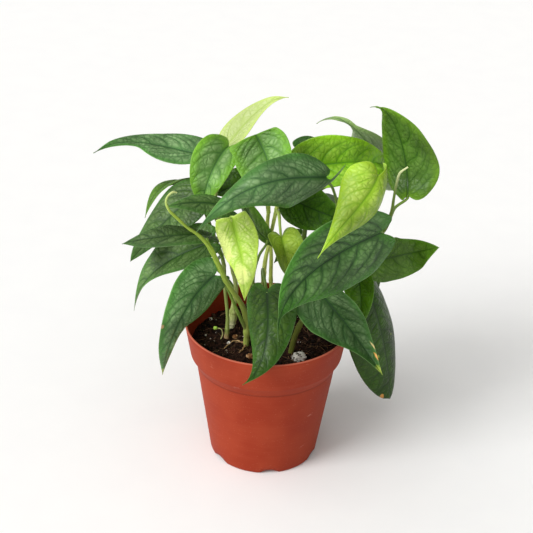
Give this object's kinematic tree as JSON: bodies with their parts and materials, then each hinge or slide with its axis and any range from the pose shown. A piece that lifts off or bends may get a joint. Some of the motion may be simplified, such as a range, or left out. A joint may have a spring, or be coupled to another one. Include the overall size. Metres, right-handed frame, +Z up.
{
  "type": "potted monstera siltepecana",
  "caption": "Young climbing aroid with long heart-shaped leaves on slim vines, rooted in a tapered round nursery pot of soil, free-standing on the pot's foot.",
  "frame": {"origin": "centre of the pot's foot, on the surface it stands on", "axes": "+Z up along the pot's axis, -Y towards the front, +X to the right seen from the front"},
  "size_m": [0.2088, 0.177, 0.2419],
  "materials": {
    "leaf_dark": "satin",
    "leaf_fresh": "satin",
    "leaf_lime": "satin",
    "leaf_pale": "satin",
    "stem": "satin",
    "pot": "matte",
    "soil": "matte",
    "perlite": "matte",
    "bark": "matte"
  },
  "bodies": {
    "root": {"pot": "pot", "vine_left": "stem", "vine_side": "stem", "vine_runner": "stem", "vine_centre": "stem", "vine_middle": "stem", "vine_right": "stem", "vine_back": "stem", "seedling": "stem", "perlite_1": "perlite", "perlite_2": "perlite", "perlite_3": "perlite", "perlite_4": "perlite", "bark_1": "bark", "bark_2": "bark", "bark_3": "bark", "soil": "soil", "leaf_01": "leaf_dark", "leaf_02": "leaf_fresh", "leaf_03": "leaf_fresh", "leaf_04": "leaf_dark", "leaf_05": "leaf_lime", "leaf_06": "leaf_fresh", "leaf_07": "leaf_fresh", "leaf_08": "leaf_pale", "leaf_09": "leaf_lime", "leaf_10": "leaf_dark", "leaf_11": "leaf_dark", "leaf_12": "leaf_dark", "leaf_13": "leaf_dark", "leaf_14": "leaf_lime", "leaf_15": "leaf_dark", "leaf_16": "leaf_dark", "leaf_17": "leaf_fresh", "leaf_18": "leaf_dark", "leaf_19": "leaf_fresh", "leaf_20": "leaf_dark", "leaf_21": "leaf_dark", "leaf_22": "leaf_dark", "leaf_23": "leaf_dark", "leaf_24": "leaf_fresh", "leaf_25": "leaf_dark", "leaf_26": "leaf_dark", "leaf_27": "leaf_dark", "leaf_28": "leaf_dark", "leaf_29": "leaf_dark", "leaf_30": "leaf_dark", "leaf_31": "leaf_fresh", "leaf_32": "leaf_dark", "leaf_33": "leaf_dark", "leaf_34": "leaf_fresh"}
  },
  "joints": []
}
